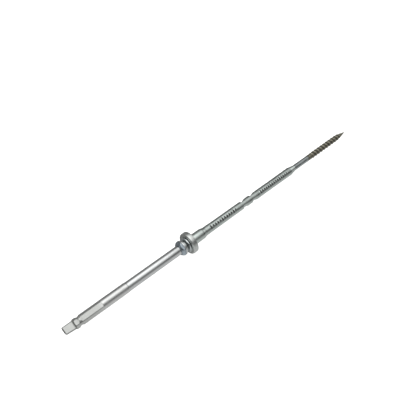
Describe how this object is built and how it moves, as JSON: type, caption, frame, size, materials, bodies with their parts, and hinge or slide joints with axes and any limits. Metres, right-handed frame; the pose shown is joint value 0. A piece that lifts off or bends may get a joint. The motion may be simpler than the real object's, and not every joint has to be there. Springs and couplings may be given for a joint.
{
  "type": "ice screw",
  "caption": "Slim screw-in ice anchor: hex drive shank, shaft with lock nut and free-turning swivel ring, crimped sleeve and coarse threaded point.",
  "frame": {"origin": "centre of the drive tang's flat end face", "axes": "+X runs along the screw's axis from the drive tang to the threaded point, and +Z is square to the tang's flat"},
  "size_m": [0.2999, 0.0168, 0.0168],
  "materials": {
    "zinc_steel": "bright zinc-plated steel, fine turned grain",
    "milled_steel": "zinc-plated steel with milled flats",
    "blue_zinc": "blue-passivated zinc-plated steel",
    "sleeve_steel": "dull zinc-plated tube, crimped and engraved",
    "rod_steel": "drawn steel rod, bluish",
    "dark_steel": "dark oiled carbon steel"
  },
  "bodies": {
    "root": {"drive_shank": "milled_steel", "rear_shaft": "zinc_steel", "coupling_stud": "zinc_steel", "front_sleeve": "sleeve_steel", "core_rod": "rod_steel", "screw_tip": "dark_steel"},
    "nut_carrier": {"nut_washer": "zinc_steel", "spacer": "zinc_steel"},
    "nut": {"jam_nut": "blue_zinc"},
    "swivel": {"flange_ring": "zinc_steel", "spring_washer": "blue_zinc"}
  },
  "joints": [
    {"name": "nut_travel", "type": "slide", "parent": "root", "child": "nut_carrier", "axis": [1, 0, 0], "range_m": [0, 0.0007]},
    {"name": "nut_turn", "type": "hinge", "parent": "nut_carrier", "child": "nut", "pos_m": [0.1, 0, 0], "axis": [1, 0, 0], "range_deg": [0, 252]},
    {"name": "ring_swivel", "type": "hinge", "parent": "root", "child": "swivel", "pos_m": [0.105, 0, 0], "axis": [1, 0, 0], "continuous": true}
  ],
  "couplings": [
    {"joint": "nut_turn", "follows": "nut_travel", "rad_per_m": 6283.2}
  ]
}
